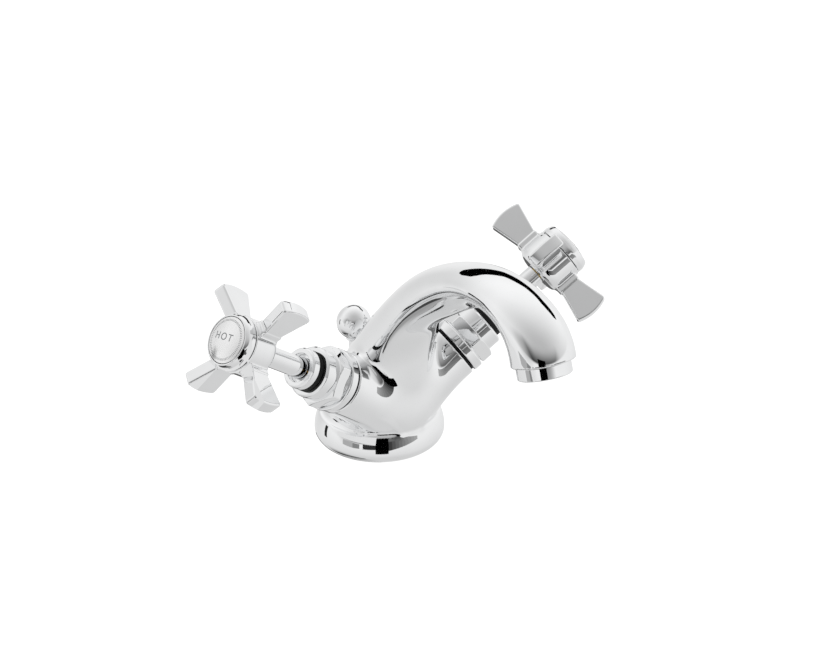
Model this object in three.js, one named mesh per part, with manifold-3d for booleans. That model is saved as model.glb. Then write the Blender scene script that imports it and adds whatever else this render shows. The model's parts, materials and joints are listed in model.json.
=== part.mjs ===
// Two-handle basin mixer tap with crosshead handles and a pop-up waste knob.
// Millimetres, +Z up. The origin is the centre of the base on the basin's deck.
// The spout points along -Y. The hot valve is on the -X side, the cold one on +X.

import * as THREE from 'three';
import { mergeVertices } from 'three/addons/utils/BufferGeometryUtils.js';
import Module from 'manifold-3d';

const wasm = await Module();
wasm.setup();

// ---------------------------------------------------------------- driving dimensions

const GAP = 0.3; // clearance between neighbouring pieces
const DEG = Math.PI / 180;

// Base flange and trunk of the body
const BASE_FOOT_RADIUS = 25.6;
const BASE_RADIUS = 28.9;
const BASE_WIDEST = 4.9; // height at which the base is widest
const BASE_LOWER_ARC = { radius: 5.2, from: -66 * DEG, to: 0, steps: 4 };
const BASE_UPPER_ARC = { radius: 14, from: 6 * DEG, to: 33 * DEG, steps: 4 };
const WAIST_RADIUS = 24.2;
const WAIST_HEIGHT = 12.9;
const WAIST_STEP = 2; // how far the flange's hidden top narrows inside the trunk

// Trunk of the body: height, half width, front y and back y of each level
const TRUNK_LEVELS = [
  [8, 25, -25, 25],
  [14, 23.5, -25.5, 24],
  [22, 22, -26.8, 22],
  [32, 19, -28.6, 16],
  [44, 15.5, -30, 6],
  [54, 13, -31, -6],
  [64, 11.5, -34, -14],
  [72, 10.5, -38.5, -22],
  [78, 9, -42.5, -32],
];
const TRUNK_SEGMENTS = 20;

// Stations along the spout in the plane x = 0, from inside the trunk to the outlet.
// Crown is the outer line, edge the line of the side corners, belly the inner line.
const SPOUT_STATIONS = [
  { crown: [17, 30], edge: [-3, 24], belly: [-14, 20], half: 17.5 },
  { crown: [9, 47], edge: [-10, 38], belly: [-19, 33], half: 17 },
  { crown: [-3, 61.5], edge: [-17, 47], belly: [-24, 42], half: 16.3 },
  { crown: [-11, 71], edge: [-24, 56], belly: [-27.5, 52.5], half: 15.4 },
  { crown: [-22.4, 82.7], edge: [-33, 69], belly: [-37, 66], half: 14.8 },
  { crown: [-34, 93], edge: [-42, 79.8], belly: [-46.6, 75], half: 14.3 },
  { crown: [-46.3, 101.4], edge: [-53, 90.6], belly: [-58, 83.8], half: 13.9 },
  { crown: [-60, 109], edge: [-65.5, 99.6], belly: [-69.6, 91.4], half: 13.6 },
  { crown: [-76.6, 113.8], edge: [-79, 105.8], belly: [-81.6, 97.2], half: 13.3 },
  { crown: [-92, 115.4], edge: [-92.5, 107.8], belly: [-92.5, 100.5], half: 13.2 },
  { crown: [-108, 114.6], edge: [-104.5, 106.3], belly: [-102, 98.5], half: 13.3 },
  { crown: [-122, 110], edge: [-112.5, 103], belly: [-107, 95.5], half: 13.5 },
  { crown: [-132, 102.5], edge: [-118, 96.8], belly: [-110, 91], half: 13.6 },
  { crown: [-136.1, 95.9], edge: [-120.3, 90.2], belly: [-110.7, 86.7], half: 13.5 },
];
const SPOUT_RINGS = 20;
const CROWN_POWER = 2.3;
const CROWN_SEGMENTS = 10;
const BELLY_SEGMENTS = 6;

// Valve axes: both start at one point inside the body and rise outwards
const VALVE_START = new THREE.Vector3(0, -9.4, 20.1);
const VALVE_RISE = 34.6 * DEG;
const VALVE_SWEEP = 7.7 * DEG;
const SOCKET_END = 36.3; // distances along the valve axis from VALVE_START
const SOCKET_FLARE = [[19, -4], [18, 6], [16, 14], [14.6, 22], [13.9, 29], [13.7, SOCKET_END]];
const SOCKET_BORE = 9.6;
const SEAT = 15; // bottom of the bore, where the cartridge's seal sits

// Waterways, stud hole and gasket recess of the body
const INLET = { x: 8.6, y: -7, radius: 4.6, top: 25 };
const STUD_HOLE = { y: 7, radius: 3.4, top: 14 };
const SEAT_HOLE = { radius: 4.2, low: 7.5 };
const MIXING_POINT = new THREE.Vector3(0, -14, 47);
const PORT_MOUTH = { x: 15, y: -11.8, z: 36.5 }; // on the bore's wall, at the height of the discs
const PORT_RADIUS = 3.6;
const WATERWAY_RADIUS = 4.4;
const RECESS = { inner: 16.2, outer: 25.7, depth: 1.5 };

// Bonnet stations along the valve axis
const CARTRIDGE_START = 16;
const FLANGE_START = 37.5;
const FLANGE_END = 41.6;
const FLANGE_RADIUS = 13.9;
const SHOULDER_END = 42.3;
const SHOULDER_RADIUS = 11.8;
const HEX_END = 48.2;
const HEX_FLATS = 24;
const HEX_CROWN = 13.75; // radius at which the hexagon's corners are rounded off
const NECK_END = 54.6;
const NECK_RADIUS = 11.2;
const GROOVE_END = 57;
const GROOVE_RADIUS = 8;
const END_RING_END = 61;
const END_RING_RADIUS = 8.9;
const SPIGOT_RADIUS = 9.2;
const BONNET_SEAL_RADIUS = 12.7;
const DISC_CHAMBER = { radius: 7.7, end: 27 };
const STEM_BORE = 4.3;
const RECESS_FLOOR = 58.4;
const RECESS_RADIUS = 6.4;
const WINDOW = { length: 30, width: 5, height: 3.2, centre: 24 }; // cross slot that lets the water out

// Discs, spindle and sleeve
const DISC_RADIUS = 7.3;
const DISC_HOLE = { offset: 3.4, radius: 1.9 };
const FIXED_DISC = { low: 17.5, high: 20 };
const MOVING_DISC = { low: 20.3, high: 23 };
const SEAT_SEAL = { inner: 5, outer: 7 };
const DRIVER = { radius: 6.9, low: 23.3, high: 26.4 };
const STEM_RADIUS = 4;
const STEM_END = 57.6;
const PIN_RADIUS = 3;
const PIN_END = 90;
const SEAL_GROOVE = { radius: 3, low: 40, high: 42 };
const CLIP_GROOVE = { radius: 2.5, low: 58.6, high: 59.7 };
const CLIP = { inner: 2.7, outer: 5, low: 58.8, high: 59.5, mouth: 1.6 };
const SLEEVE_RADIUS = 4.5;
const SCREW = { radius: 1.6, low: 81, headRadius: 4.2, headHeight: 2.7, slotWidth: 0.9, slotDepth: 1.3 };

// Handle
const HUB_START = 85.8;
const HUB_RADIUS = 12.2;
const HUB_END = 100;
const HUB_ROUNDING = 2.4;
const HUB_WEB = { low: 90.3, high: 92.5 };
const CAP_SEAT = { low: 96, radius: 7.5 };
const CAP_RADIUS = 12;
const CAP_END = 105.4;
const PLATE_RADIUS = 10;
const PLATE_SEAT = 1;
const PLATE_CROWN = 1.5;
const ARM_BACK = 85;
const ARM_FRONT = 101;
const ARM_REACH = 28.5;
const ARM_ROOT_WIDTH = 9.6;
const ARM_THICKNESS = 6;
const ARM_BULGE = 1.7;
const ARM_ROOT = 8.5; // where the arms start inside the hub
const COLLAR = { reach: 14.4, width: 11, thickness: 7 };
const SCREW_POCKET_RADIUS = 5.2;
const HOT_REST_ANGLE = 58.7 * DEG;
const COLD_REST_ANGLE = 39.3 * DEG;

// Outlet and aerator, heights measured along the outlet's own axis
const OUTLET_TILT = 20 * DEG;
const OUTLET_CENTRE = new THREE.Vector3(0, -123.4, 91.3);
const AERATOR_CHAMBER = { radius: 9.8, depth: 8 };
const AERATOR_RADIUS = 11.2;
const AERATOR_DROP = 5.6;
const HOUSING = { bore: 8.2, top: 4.6, lip: 7.6, lipHeight: 1.4 };
const INSERT_JETS = { count: 6, radius: 1.1, offset: 4.6 };
const SCREEN = { radius: 7.9, low: -3.9, high: -2.7, hole: 2, pitch: 2.9 };
const AERATOR_SEAL = { inner: 7, outer: 9.4, low: 4.9, high: 6.4 };

// Pop-up knob and rod
const ROD_Y = 21.3;
const ROD_RADIUS = 2.3;
const ROD_HOLE = 2.7;
const ROD_FOOT = 1;
const KNOB_HEIGHT = 46.8;
const KNOB_RADIUS = 7.7;
const KNOB_COLLAR = { radius: 3.6, drop: 0.6 };
const KNOB_HOLE_TOP = -3; // from the centre of the ball
const BUSH = { radius: 3.7, low: 1.8, high: 8.5 };

const ROUND = 28; // segments of a large round piece
const SMALL_ROUND = 16;

// ---------------------------------------------------------------- materials

const chrome = () => new THREE.MeshStandardMaterial({ color: 0xd9dcdf, roughness: 0.06, metalness: 1 });
const brass = () => new THREE.MeshStandardMaterial({ color: 0xb58d3d, roughness: 0.35, metalness: 1 });
const steel = () => new THREE.MeshStandardMaterial({ color: 0x9a9da1, roughness: 0.3, metalness: 1 });
const rubber = () => new THREE.MeshStandardMaterial({ color: 0x161616, roughness: 0.8, metalness: 0 });
const ceramic = () => new THREE.MeshStandardMaterial({ color: 0xf1efe8, roughness: 0.25, metalness: 0 });
const plastic = () => new THREE.MeshStandardMaterial({ color: 0xe6e6e2, roughness: 0.5, metalness: 0 });
const indexMetal = () => new THREE.MeshStandardMaterial({ color: 0xe9ebec, roughness: 0.2, metalness: 1 });

// ---------------------------------------------------------------- solids

// A closed mesh as a manifold solid, optionally moved by a matrix.
function solid(geometry, matrix) {
  const bare = geometry.clone();
  bare.deleteAttribute('normal');
  bare.deleteAttribute('uv');
  const merged = mergeVertices(bare, 1e-4);
  if (matrix) merged.applyMatrix4(matrix);
  return new wasm.Manifold(new wasm.Mesh({
    numProp: 3,
    vertProperties: new Float32Array(merged.attributes.position.array),
    triVerts: new Uint32Array(merged.index.array),
  }));
}

// A manifold solid back as three.js geometry.
function geometryOf(manifold) {
  const mesh = manifold.getMesh();
  const geometry = new THREE.BufferGeometry();
  geometry.setAttribute('position', new THREE.BufferAttribute(mesh.vertProperties, 3));
  geometry.setIndex(new THREE.BufferAttribute(mesh.triVerts, 1));
  geometry.computeVertexNormals();
  return geometry;
}

function meshOf(name, geometry, material) {
  const mesh = new THREE.Mesh(geometry, material);
  mesh.name = name;
  return mesh;
}

// A turned shape about +Z. Profile points are [radius, height], from axis to axis
// or round a closed section.
function turned(profile, segments = SMALL_ROUND) {
  const points = profile.map(([radius, height]) => new THREE.Vector2(radius, height));
  const geometry = new THREE.LatheGeometry(points, segments);
  geometry.rotateX(Math.PI / 2);
  return geometry;
}

// A ring of rectangular section about +Z.
function ring(inner, outer, low, high, segments = SMALL_ROUND) {
  return turned([[inner, low], [outer, low], [outer, high], [inner, high], [inner, low]], segments);
}

// A plain round bar about +Z.
function bar(radius, low, high, segments = SMALL_ROUND) {
  return turned([[0, low], [radius, low], [radius, high], [0, high]], segments);
}

// A prism with flats, standing on +Z.
function hexagon(flats, low, high) {
  const geometry = new THREE.CylinderGeometry(flats / Math.sqrt(3), flats / Math.sqrt(3), high - low, 6);
  geometry.rotateX(Math.PI / 2);
  geometry.translate(0, 0, (low + high) / 2);
  return geometry;
}

// A solid skinned over rings of points, all rings with the same number of points.
function loft(rings) {
  const count = rings[0].length;
  const positions = [];
  const triangles = [];
  for (const points of rings) {
    for (const point of points) positions.push(point.x, point.y, point.z);
  }
  for (let row = 0; row < rings.length - 1; row += 1) {
    for (let i = 0; i < count; i += 1) {
      const here = row * count + i;
      const next = row * count + ((i + 1) % count);
      triangles.push(here, next, next + count);
      triangles.push(here, next + count, here + count);
    }
  }
  for (const [row, flip] of [[0, true], [rings.length - 1, false]]) {
    const centre = positions.length / 3;
    const middle = rings[row].reduce((sum, point) => sum.add(point), new THREE.Vector3());
    middle.divideScalar(count);
    positions.push(middle.x, middle.y, middle.z);
    for (let i = 0; i < count; i += 1) {
      const here = row * count + i;
      const next = row * count + ((i + 1) % count);
      if (flip) triangles.push(centre, next, here);
      else triangles.push(centre, here, next);
    }
  }
  const geometry = new THREE.BufferGeometry();
  geometry.setAttribute('position', new THREE.Float32BufferAttribute(positions, 3));
  geometry.setIndex(triangles);
  return geometry;
}

// ---------------------------------------------------------------- valve frames

// Turns +Z onto a valve's axis. The first cross direction faces the user.
function valveFrame(side) {
  const axis = new THREE.Vector3(
    side * Math.cos(VALVE_RISE) * Math.cos(VALVE_SWEEP),
    -Math.cos(VALVE_RISE) * Math.sin(VALVE_SWEEP),
    Math.sin(VALVE_RISE),
  );
  const facing = new THREE.Vector3(0, -1, 0);
  facing.addScaledVector(axis, -facing.dot(axis)).normalize();
  const across = new THREE.Vector3().crossVectors(axis, facing);
  return new THREE.Matrix4().makeBasis(facing, across, axis).setPosition(VALVE_START);
}

// ---------------------------------------------------------------- mixer body

// A smooth line through one of the station points of the spout.
function stationLine(key) {
  const points = SPOUT_STATIONS.map((station) => new THREE.Vector3(0, ...station[key]));
  return new THREE.CatmullRomCurve3(points, false, 'centripetal');
}
const CROWN_LINE = stationLine('crown');
const EDGE_LINE = stationLine('edge');
const BELLY_LINE = stationLine('belly');

function spoutHalfWidth(t) {
  const place = t * (SPOUT_STATIONS.length - 1);
  const first = Math.min(Math.floor(place), SPOUT_STATIONS.length - 2);
  return THREE.MathUtils.lerp(SPOUT_STATIONS[first].half, SPOUT_STATIONS[first + 1].half, place - first);
}

// One ring of the spout: a round crown above the side corners, a shallow belly below them.
function spoutRing(t) {
  const crown = CROWN_LINE.getPoint(t);
  const edge = EDGE_LINE.getPoint(t);
  const belly = BELLY_LINE.getPoint(t);
  const half = spoutHalfWidth(t);
  const points = [];
  for (let i = 0; i <= CROWN_SEGMENTS; i += 1) {
    const angle = (i / CROWN_SEGMENTS) * Math.PI;
    const x = Math.sign(Math.cos(angle)) * Math.abs(Math.cos(angle)) ** (2 / CROWN_POWER) * half;
    const rise = Math.sin(angle) ** (2 / CROWN_POWER);
    points.push(new THREE.Vector3().lerpVectors(edge, crown, rise).setX(x));
  }
  for (let i = 1; i < BELLY_SEGMENTS; i += 1) {
    const x = -half + (i / BELLY_SEGMENTS) * 2 * half;
    points.push(new THREE.Vector3().lerpVectors(edge, belly, 1 - (x / half) ** 2).setX(x));
  }
  return points;
}

function spout() {
  const rings = [];
  for (let i = 0; i <= SPOUT_RINGS; i += 1) rings.push(spoutRing(i / SPOUT_RINGS));
  return loft(rings);
}

// The round base flange and the waist above it.
function baseFlange() {
  const profile = [[0, 0], [BASE_FOOT_RADIUS, 0]];
  for (const { radius, from, to, steps } of [BASE_LOWER_ARC, BASE_UPPER_ARC]) {
    for (let i = 0; i <= steps; i += 1) {
      const angle = THREE.MathUtils.lerp(from, to, i / steps);
      profile.push([BASE_RADIUS - radius + radius * Math.cos(angle), BASE_WIDEST + radius * Math.sin(angle)]);
    }
  }
  const top = WAIST_HEIGHT + 2 * WAIST_STEP;
  profile.push([WAIST_RADIUS, WAIST_HEIGHT], [WAIST_RADIUS - WAIST_STEP, top], [0, top]);
  return turned(profile, ROUND);
}

// The trunk: an upright form that narrows from the waist into the underside of the spout.
function trunk() {
  const rings = TRUNK_LEVELS.map(([height, half, front, back]) => {
    const points = [];
    for (let i = 0; i < TRUNK_SEGMENTS; i += 1) {
      const angle = (i / TRUNK_SEGMENTS) * 2 * Math.PI;
      const y = (front + back) / 2 + ((back - front) / 2) * Math.sin(angle);
      points.push(new THREE.Vector3(half * Math.cos(angle), y, height));
    }
    return points;
  });
  return loft(rings);
}

// One valve socket: a stub along the valve's axis that flares into the trunk.
function socket() {
  return turned([[0, SOCKET_FLARE[0][1]], ...SOCKET_FLARE, [0, SOCKET_END]], ROUND);
}

// A straight round hole between two points.
function drilled(from, to, radius) {
  const geometry = bar(radius, 0, from.distanceTo(to));
  const direction = new THREE.Vector3().subVectors(to, from).normalize();
  const turn = new THREE.Quaternion().setFromUnitVectors(new THREE.Vector3(0, 0, 1), direction);
  geometry.applyQuaternion(turn);
  geometry.translate(from.x, from.y, from.z);
  return geometry;
}

// The water passage from the mixing point up through the spout to the aerator chamber.
function waterway() {
  const points = [MIXING_POINT.clone()];
  for (let i = 4; i < SPOUT_STATIONS.length - 1; i += 1) {
    const { crown, edge, belly } = SPOUT_STATIONS[i];
    const y = (crown[0] + belly[0] + edge[0]) / 3;
    const z = (crown[1] + belly[1] + edge[1]) / 3;
    points.push(new THREE.Vector3(0, y, z));
  }
  const circle = new THREE.Shape().absarc(0, 0, WATERWAY_RADIUS, 0, 2 * Math.PI);
  return new THREE.ExtrudeGeometry(circle, {
    extrudePath: new THREE.CatmullRomCurve3(points),
    steps: 16,
    curveSegments: 5,
    bevelEnabled: false,
  });
}

function mixerBody() {
  let body = solid(baseFlange());
  body = body.add(solid(trunk()));
  body = body.add(solid(spout()));
  for (const side of [-1, 1]) {
    body = body.add(solid(socket(), valveFrame(side)));
  }
  body = body.subtract(solid(waterway()));
  const aeratorChamber = bar(AERATOR_CHAMBER.radius, -1, AERATOR_CHAMBER.depth, ROUND);
  body = body.subtract(solid(aeratorChamber, outletMatrix()));
  for (const side of [-1, 1]) {
    const frame = valveFrame(side);
    body = body.subtract(solid(bar(SOCKET_BORE, SEAT, SOCKET_END + 1, ROUND), frame));
    body = body.subtract(solid(bar(SEAT_HOLE.radius, SEAT_HOLE.low, SEAT + 1), frame));
    const mouth = new THREE.Vector3(side * PORT_MOUTH.x, PORT_MOUTH.y, PORT_MOUTH.z);
    body = body.subtract(solid(drilled(mouth, MIXING_POINT, PORT_RADIUS)));
    const inlet = bar(INLET.radius, -1, INLET.top);
    inlet.translate(side * INLET.x, INLET.y, 0);
    body = body.subtract(solid(inlet));
  }
  const studHole = bar(STUD_HOLE.radius, -1, STUD_HOLE.top);
  studHole.translate(0, STUD_HOLE.y, 0);
  body = body.subtract(solid(studHole));
  const rodHole = bar(ROD_HOLE, -1, KNOB_HEIGHT);
  rodHole.translate(0, ROD_Y, 0);
  body = body.subtract(solid(rodHole));
  const bushSeat = bar(BUSH.radius + GAP, -1, BUSH.high + GAP);
  bushSeat.translate(0, ROD_Y, 0);
  body = body.subtract(solid(bushSeat));
  body = body.subtract(solid(ring(RECESS.inner, RECESS.outer, -1, RECESS.depth, ROUND)));
  return geometryOf(body);
}

// The flat rubber gasket in the recess under the base, with a hole for the rod.
function baseGasket() {
  const gasket = solid(ring(RECESS.inner + GAP, RECESS.outer - GAP, 0.1, RECESS.depth - GAP, ROUND));
  const hole = bar(ROD_HOLE, -1, RECESS.depth + 1);
  hole.translate(0, ROD_Y, 0);
  return geometryOf(gasket.subtract(solid(hole)));
}

// ---------------------------------------------------------------- outlet

// +Z of this frame points up into the spout, the origin is the outlet's face.
function outletMatrix() {
  const matrix = new THREE.Matrix4().makeRotationX(-OUTLET_TILT);
  return matrix.setPosition(OUTLET_CENTRE);
}

function aeratorHousing() {
  return turned([
    [HOUSING.lip + 1, -AERATOR_DROP], [AERATOR_RADIUS - 0.5, -AERATOR_DROP],
    [AERATOR_RADIUS, -AERATOR_DROP + 0.5], [AERATOR_RADIUS, -GAP],
    [AERATOR_CHAMBER.radius - GAP, -GAP], [AERATOR_CHAMBER.radius - GAP, HOUSING.top],
    [HOUSING.bore, HOUSING.top], [HOUSING.bore, -AERATOR_DROP + HOUSING.lipHeight],
    [HOUSING.lip, -AERATOR_DROP + HOUSING.lipHeight], [HOUSING.lip, -AERATOR_DROP + 0.6],
    [HOUSING.lip + 1, -AERATOR_DROP],
  ], ROUND);
}

function aeratorInsert() {
  let insert = solid(bar(SCREEN.radius, 0, HOUSING.top));
  for (let i = 0; i < INSERT_JETS.count; i += 1) {
    const jet = bar(INSERT_JETS.radius, -1, HOUSING.top + 1, 8);
    jet.translate(INSERT_JETS.offset, 0, 0);
    jet.rotateZ((i / INSERT_JETS.count) * 2 * Math.PI);
    insert = insert.subtract(solid(jet));
  }
  return geometryOf(insert);
}

function aeratorSeal() {
  return ring(AERATOR_SEAL.inner, AERATOR_SEAL.outer, AERATOR_SEAL.low, AERATOR_SEAL.high);
}

// The outlet grid: a thin disc with square holes in rows.
function aeratorScreen() {
  const { radius, low, high, hole, pitch } = SCREEN;
  let screen = solid(bar(radius, low, high));
  for (let row = -2; row <= 2; row += 1) {
    for (let column = -2; column <= 2; column += 1) {
      if (Math.abs(row) + Math.abs(column) > 2) continue;
      const opening = new THREE.BoxGeometry(hole, hole, 2 * (high - low));
      opening.translate(column * pitch, row * pitch, (low + high) / 2);
      screen = screen.subtract(solid(opening));
    }
  }
  return geometryOf(screen);
}

// ---------------------------------------------------------------- pop-up control

function liftRodBush() {
  return ring(ROD_HOLE, BUSH.radius, BUSH.low, BUSH.high);
}

function liftRod() {
  return bar(ROD_RADIUS, ROD_FOOT, KNOB_HEIGHT + KNOB_HOLE_TOP);
}

// The ball knob, with a short collar and a blind hole for the rod.
function liftKnob() {
  const holeTop = KNOB_HEIGHT + KNOB_HOLE_TOP + GAP;
  const foot = KNOB_HEIGHT - KNOB_RADIUS - KNOB_COLLAR.drop;
  const hole = ROD_RADIUS + GAP;
  const profile = [[0, holeTop], [hole, holeTop], [hole, foot], [KNOB_COLLAR.radius, foot]];
  for (let i = 2; i <= 10; i += 1) {
    const angle = (-90 + (i / 10) * 180) * DEG;
    profile.push([Math.max(KNOB_RADIUS * Math.cos(angle), 0), KNOB_HEIGHT + KNOB_RADIUS * Math.sin(angle)]);
  }
  return turned(profile, 20);
}

// ---------------------------------------------------------------- valves

// Cartridge and bonnet in one: windowed disc chamber, thread, flange, hexagon, neck and end ring.
function bonnet() {
  const outside = turned([
    [0, CARTRIDGE_START], [SPIGOT_RADIUS, CARTRIDGE_START], [SPIGOT_RADIUS, FLANGE_START],
    [FLANGE_RADIUS - 0.4, FLANGE_START], [FLANGE_RADIUS, FLANGE_START + 0.4],
    [FLANGE_RADIUS, FLANGE_END - 0.4], [FLANGE_RADIUS - 0.4, FLANGE_END],
    [SHOULDER_RADIUS, FLANGE_END], [SHOULDER_RADIUS, SHOULDER_END],
    [NECK_RADIUS, SHOULDER_END], [NECK_RADIUS, NECK_END - 0.8], [NECK_RADIUS - 0.8, NECK_END],
    [GROOVE_RADIUS, NECK_END], [GROOVE_RADIUS, GROOVE_END], [END_RING_RADIUS - 0.3, GROOVE_END],
    [END_RING_RADIUS, GROOVE_END + 0.3], [END_RING_RADIUS, END_RING_END - 0.7],
    [END_RING_RADIUS - 0.7, END_RING_END], [0, END_RING_END],
  ], ROUND);
  const crowned = turned([
    [0, SHOULDER_END], [HEX_CROWN - 0.5, SHOULDER_END], [HEX_CROWN, SHOULDER_END + 0.6],
    [HEX_CROWN, HEX_END - 0.9], [HEX_CROWN - 1.5, HEX_END], [0, HEX_END],
  ], ROUND);
  const inside = turned([
    [0, CARTRIDGE_START - 1], [DISC_CHAMBER.radius, CARTRIDGE_START - 1],
    [DISC_CHAMBER.radius, DISC_CHAMBER.end], [STEM_BORE, DISC_CHAMBER.end + 1],
    [STEM_BORE, RECESS_FLOOR], [RECESS_RADIUS, RECESS_FLOOR],
    [RECESS_RADIUS, END_RING_END + 1], [0, END_RING_END + 1],
  ]);
  let shape = solid(outside);
  shape = shape.add(solid(hexagon(HEX_FLATS, SHOULDER_END - 0.01, HEX_END)).intersect(solid(crowned)));
  shape = shape.subtract(solid(inside));
  const window = new THREE.BoxGeometry(WINDOW.length, WINDOW.width, WINDOW.height);
  window.translate(0, 0, WINDOW.centre);
  return geometryOf(shape.subtract(solid(window)));
}

// The rubber ring between socket face and bonnet flange.
function bonnetSeal() {
  return ring(SOCKET_BORE, BONNET_SEAL_RADIUS, SOCKET_END + GAP, FLANGE_START - GAP, ROUND);
}

// A ceramic disc with two round water holes.
function ceramicDisc({ low, high }) {
  let disc = solid(bar(DISC_RADIUS, low, high));
  for (const side of [-1, 1]) {
    const hole = bar(DISC_HOLE.radius, low - 1, high + 1, 12);
    hole.translate(side * DISC_HOLE.offset, 0, 0);
    disc = disc.subtract(solid(hole));
  }
  return geometryOf(disc);
}

// The ring that seals the fixed disc on the seat of the body.
function seatSeal() {
  return ring(SEAT_SEAL.inner, SEAT_SEAL.outer, SEAT + GAP, FIXED_DISC.low - GAP);
}

// Spindle: driving head, stem with seal groove, then the pin for the handle.
function spindle() {
  const shaft = turned([
    [0, DRIVER.low], [DRIVER.radius, DRIVER.low], [DRIVER.radius, DRIVER.high],
    [STEM_RADIUS, DRIVER.high], [STEM_RADIUS, SEAL_GROOVE.low],
    [SEAL_GROOVE.radius, SEAL_GROOVE.low], [SEAL_GROOVE.radius, SEAL_GROOVE.high],
    [STEM_RADIUS, SEAL_GROOVE.high], [STEM_RADIUS, STEM_END], [PIN_RADIUS, STEM_END],
    [PIN_RADIUS, CLIP_GROOVE.low], [CLIP_GROOVE.radius, CLIP_GROOVE.low],
    [CLIP_GROOVE.radius, CLIP_GROOVE.high], [PIN_RADIUS, CLIP_GROOVE.high],
    [PIN_RADIUS, PIN_END], [0, PIN_END],
  ]);
  const screwHole = bar(SCREW.radius + GAP, SCREW.low - 1, PIN_END + 1, 12);
  return geometryOf(solid(shaft).subtract(solid(screwHole)));
}

function spindleSeal() {
  return ring(SEAL_GROOVE.radius + GAP, STEM_RADIUS, SEAL_GROOVE.low + GAP, SEAL_GROOVE.high - GAP, 20);
}

// A C-shaped spring clip.
function circlip() {
  const { inner, outer, low, high, mouth } = CLIP;
  const clip = solid(ring(inner, outer, low, high, 20));
  const cut = new THREE.BoxGeometry(2 * outer, mouth, 4);
  cut.translate(outer, 0, low);
  return geometryOf(clip.subtract(solid(cut)));
}

function spindleSleeve() {
  return ring(PIN_RADIUS + GAP, SLEEVE_RADIUS, CLIP_GROOVE.high + GAP, HUB_START - GAP);
}

// ---------------------------------------------------------------- handles

// One flat paddle arm that widens towards its bowed tip, lying along +X before it is turned.
function arm(angle) {
  const middle = (ARM_BACK + ARM_FRONT) / 2;
  const half = (ARM_FRONT - ARM_BACK) / 2;
  const outline = new THREE.Shape();
  outline.moveTo(ARM_ROOT, middle - ARM_ROOT_WIDTH / 2);
  outline.lineTo(COLLAR.reach, middle - ARM_ROOT_WIDTH / 2);
  outline.lineTo(ARM_REACH, middle - half);
  outline.quadraticCurveTo(ARM_REACH + 2 * ARM_BULGE, middle, ARM_REACH, middle + half);
  outline.lineTo(COLLAR.reach, middle + ARM_ROOT_WIDTH / 2);
  outline.lineTo(ARM_ROOT, middle + ARM_ROOT_WIDTH / 2);
  outline.closePath();
  const paddle = new THREE.ExtrudeGeometry(outline, {
    depth: ARM_THICKNESS, bevelEnabled: false, curveSegments: 6,
  });
  paddle.translate(0, 0, -ARM_THICKNESS / 2);
  paddle.rotateX(Math.PI / 2);
  paddle.rotateZ(angle);
  const collar = new THREE.BoxGeometry(COLLAR.reach - ARM_ROOT, COLLAR.thickness, COLLAR.width);
  collar.translate((COLLAR.reach + ARM_ROOT) / 2, 0, middle);
  collar.rotateZ(angle);
  return solid(paddle).add(solid(collar));
}

// Hub with four arms, a hole for the spindle pin and a seat for screw and cap.
function handle(restAngle) {
  const hub = turned([
    [0, HUB_START], [HUB_RADIUS - HUB_ROUNDING, HUB_START],
    [HUB_RADIUS - 0.3 * HUB_ROUNDING, HUB_START + 0.3 * HUB_ROUNDING], [HUB_RADIUS, HUB_START + HUB_ROUNDING],
    [HUB_RADIUS, HUB_END], [0, HUB_END],
  ], ROUND);
  let shape = solid(hub);
  for (let i = 0; i < 4; i += 1) shape = shape.add(arm(restAngle + (i * Math.PI) / 2));
  const bore = turned([
    [0, HUB_START - 1], [PIN_RADIUS + GAP, HUB_START - 1], [PIN_RADIUS + GAP, HUB_WEB.low],
    [SCREW.radius + 0.5, HUB_WEB.low], [SCREW.radius + 0.5, HUB_WEB.high],
    [SCREW_POCKET_RADIUS, HUB_WEB.high], [SCREW_POCKET_RADIUS, CAP_SEAT.low],
    [CAP_SEAT.radius, CAP_SEAT.low], [CAP_SEAT.radius, HUB_END + 1], [0, HUB_END + 1],
  ]);
  return geometryOf(shape.subtract(solid(bore)));
}

// Pan-head screw with a cross slot, through the hub's web into the spindle.
function handleScrew() {
  const { radius, low, headRadius, headHeight, slotWidth, slotDepth } = SCREW;
  const seat = HUB_WEB.high + GAP;
  const top = seat + headHeight;
  const screw = turned([
    [0, low], [radius, low], [radius, seat], [headRadius, seat],
    [headRadius - 0.2, top - 0.8], [headRadius - 1.6, top], [0, top],
  ], 20);
  let shape = solid(screw);
  for (const turn of [0, Math.PI / 2]) {
    const slot = new THREE.BoxGeometry(headRadius, slotWidth, 2 * slotDepth);
    slot.translate(0, 0, top);
    slot.rotateZ(turn);
    shape = shape.subtract(solid(slot));
  }
  return geometryOf(shape);
}

// The rounded cap that closes the hub, with a shallow seat for the index plate.
function indexCap() {
  return turned([
    [0, CAP_SEAT.low + 1], [CAP_SEAT.radius - GAP, CAP_SEAT.low + 1],
    [CAP_SEAT.radius - GAP, HUB_END + GAP], [CAP_RADIUS, HUB_END + GAP],
    [CAP_RADIUS, HUB_END + 2.4], [CAP_RADIUS - 0.4, HUB_END + 4.2], [PLATE_RADIUS + 0.7, CAP_END],
    [PLATE_RADIUS + 0.2, CAP_END], [PLATE_RADIUS + 0.2, CAP_END - PLATE_SEAT],
    [0, CAP_END - PLATE_SEAT],
  ], ROUND);
}

// The index plate: a round plate with a slightly crowned face.
function indexPlate() {
  const profile = [[0, CAP_END - PLATE_SEAT + GAP], [PLATE_RADIUS, CAP_END - PLATE_SEAT + GAP]];
  for (const share of [1, 0.75, 0.5, 0.25, 0]) {
    profile.push([PLATE_RADIUS * share, CAP_END + PLATE_CROWN * (1 - share ** 2)]);
  }
  return turned(profile, ROUND);
}

// ---------------------------------------------------------------- assembly

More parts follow.
